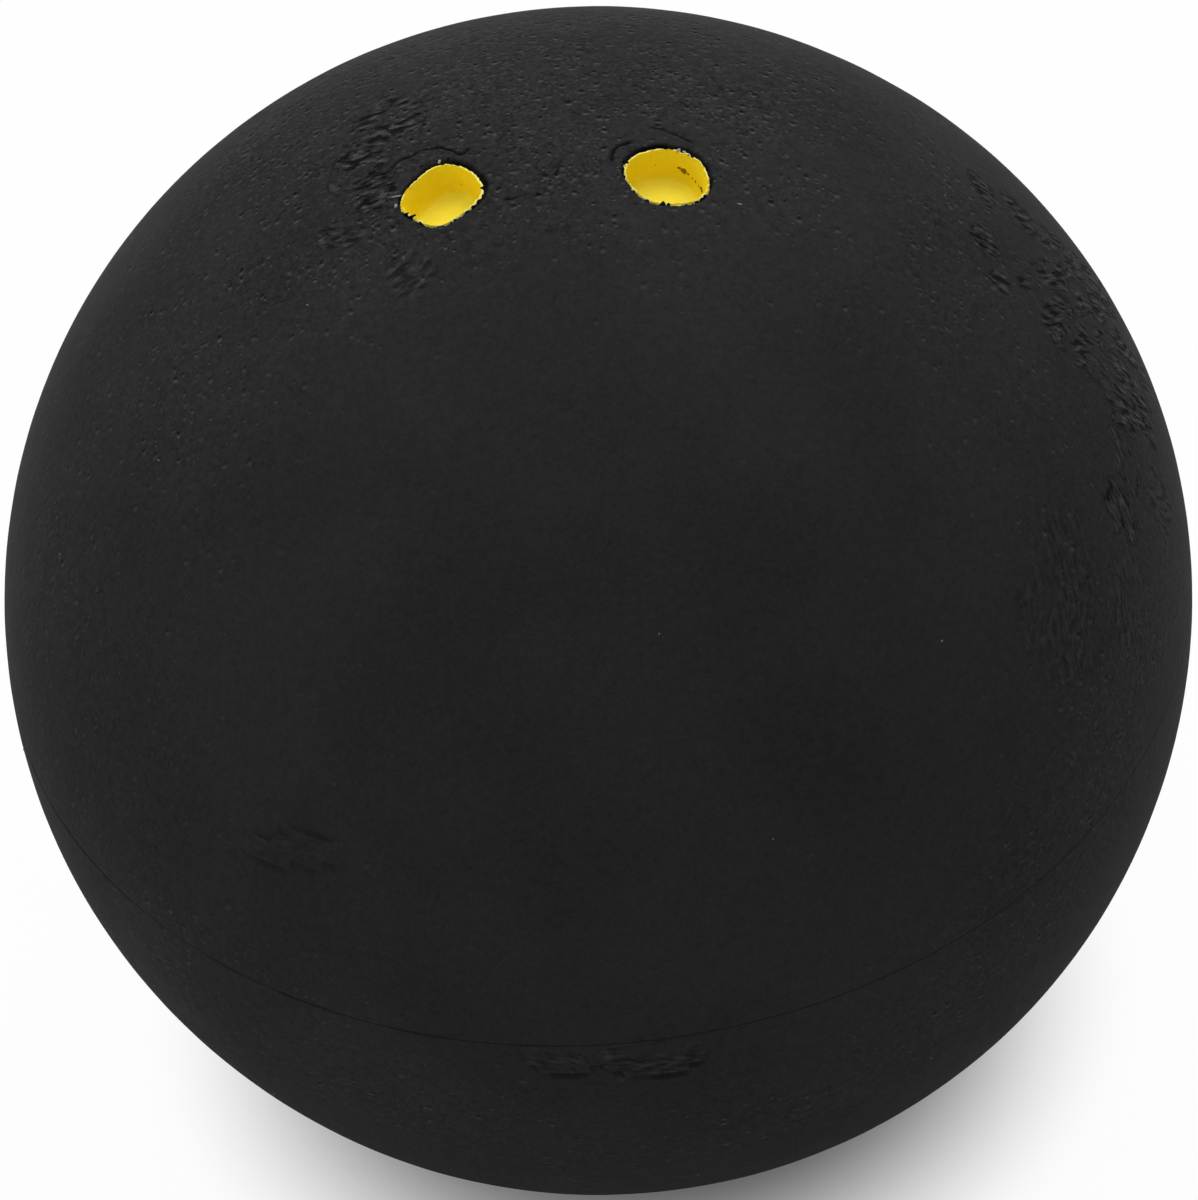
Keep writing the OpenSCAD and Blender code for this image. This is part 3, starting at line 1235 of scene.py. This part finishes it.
def on_points(graph, points, crumb, rotation, scale):
    """A crumb at each point."""
    inputs = {"Points": points, "Instance": crumb, "Rotation": rotation, "Scale": scale}
    return graph.node("GeometryNodeInstanceOnPoints", inputs)


def strewn_dust(graph, size, skin, crumb):
    """Crumbs of dust at random places on the outside of the ball."""
    outside = graph.position().length().above(size.radius - 0.15 * MM)
    inputs = {"Mesh": skin, "Selection": outside, "Density": size.density, "Seed": 4}
    points, lie = graph.node("GeometryNodeDistributePointsOnFaces", inputs, ("Points", "Rotation"))
    inputs = {"Min": DUST_LEAST, "Max": DUST_LARGEST, "Seed": 2}
    scale = graph.node("FunctionNodeRandomValue", inputs, data_type="FLOAT_VECTOR")
    return kept(graph, graph.real(on_points(graph, points, crumb, lie, scale)), dust=1)


def placed_flecks(graph, size, skin, crumb):
    """A crumb at each corner of the seed mesh, laid on the skin."""
    inputs = {0: skin, "Sample Position": graph.position()}
    lying = graph.node("GeometryNodeProximity", inputs, "Position", target_element="FACES")
    turn, stretch = [
        graph.node("GeometryNodeInputNamedAttribute", {"Name": name}, data_type="FLOAT_VECTOR")
        for name in ("turn", "stretch")
    ]
    return on_points(graph, graph.put(size.geometry, lying), crumb, turn, stretch)


def fleck_places(settings):
    """A mesh with one corner where each placed fleck lies, and how it is turned and stretched there."""
    corners, turns, stretches = [], [], []
    for side, flecks in FLECKS.items():
        for across, bearing, heading, half_long, half_wide in flecks:
            point = beside_dot(settings, side, across * MM, bearing)
            up = point.normalized()
            level = Vector((cos(radians(heading)), sin(radians(heading)), 0))
            along = (level - up * level.dot(up)).normalized()
            corners.append(point)
            turns.append(Matrix((along, up.cross(along), up)).transposed().to_euler())
            stretches.append(Vector((half_long, half_wide, half_wide)) * MM)
    mesh = bpy.data.meshes.new("fleck_places")
    mesh.from_pydata(corners, [], [])
    for name, vectors in (("turn", turns), ("stretch", stretches)):
        layer = mesh.attributes.new(name, "FLOAT_VECTOR", "POINT")
        for item, vector in zip(layer.data, vectors):
            item.vector = vector[:]
    return mesh


class BALL_PT_panel(bpy.types.Panel):
    """Lists the pieces of the ball and the sizes and colours that they are made from"""

    bl_idname = "BALL_PT_panel"
    bl_label = "Squash ball"
    bl_space_type = "VIEW_3D"
    bl_region_type = "UI"
    bl_category = "Ball"

    def draw(self, context):
        settings = context.scene.squash_ball
        for group in (settings.ball, settings.dots, settings.look, settings.stage):
            box = self.layout.box()
            for name in type(group).__annotations__:
                box.prop(group, name)
        for operator in OPERATORS:
            self.layout.operator(operator.bl_idname)


OPERATORS = (
    BALL_OT_stage,
    BALL_OT_upper_half,
    BALL_OT_lower_half,
    BALL_OT_bond_film,
    BALL_OT_dots,
    BALL_OT_flecks,
)
CLASSES = (BallSizes, DotSizes, Finishes, StageSettings, BallSettings, *OPERATORS, BALL_PT_panel)


def register():
    for made in CLASSES:
        bpy.utils.register_class(made)
    bpy.types.Scene.squash_ball = bpy.props.PointerProperty(type=BallSettings)


def unregister():
    del bpy.types.Scene.squash_ball
    for made in reversed(CLASSES):
        bpy.utils.unregister_class(made)


def main():
    register()
    bpy.ops.ball.stage()
    bpy.ops.ball.upper_half()
    bpy.ops.ball.lower_half()
    bpy.ops.ball.bond_film()
    bpy.ops.ball.dots()
    bpy.ops.ball.flecks()


if __name__ == "__main__":
    main()
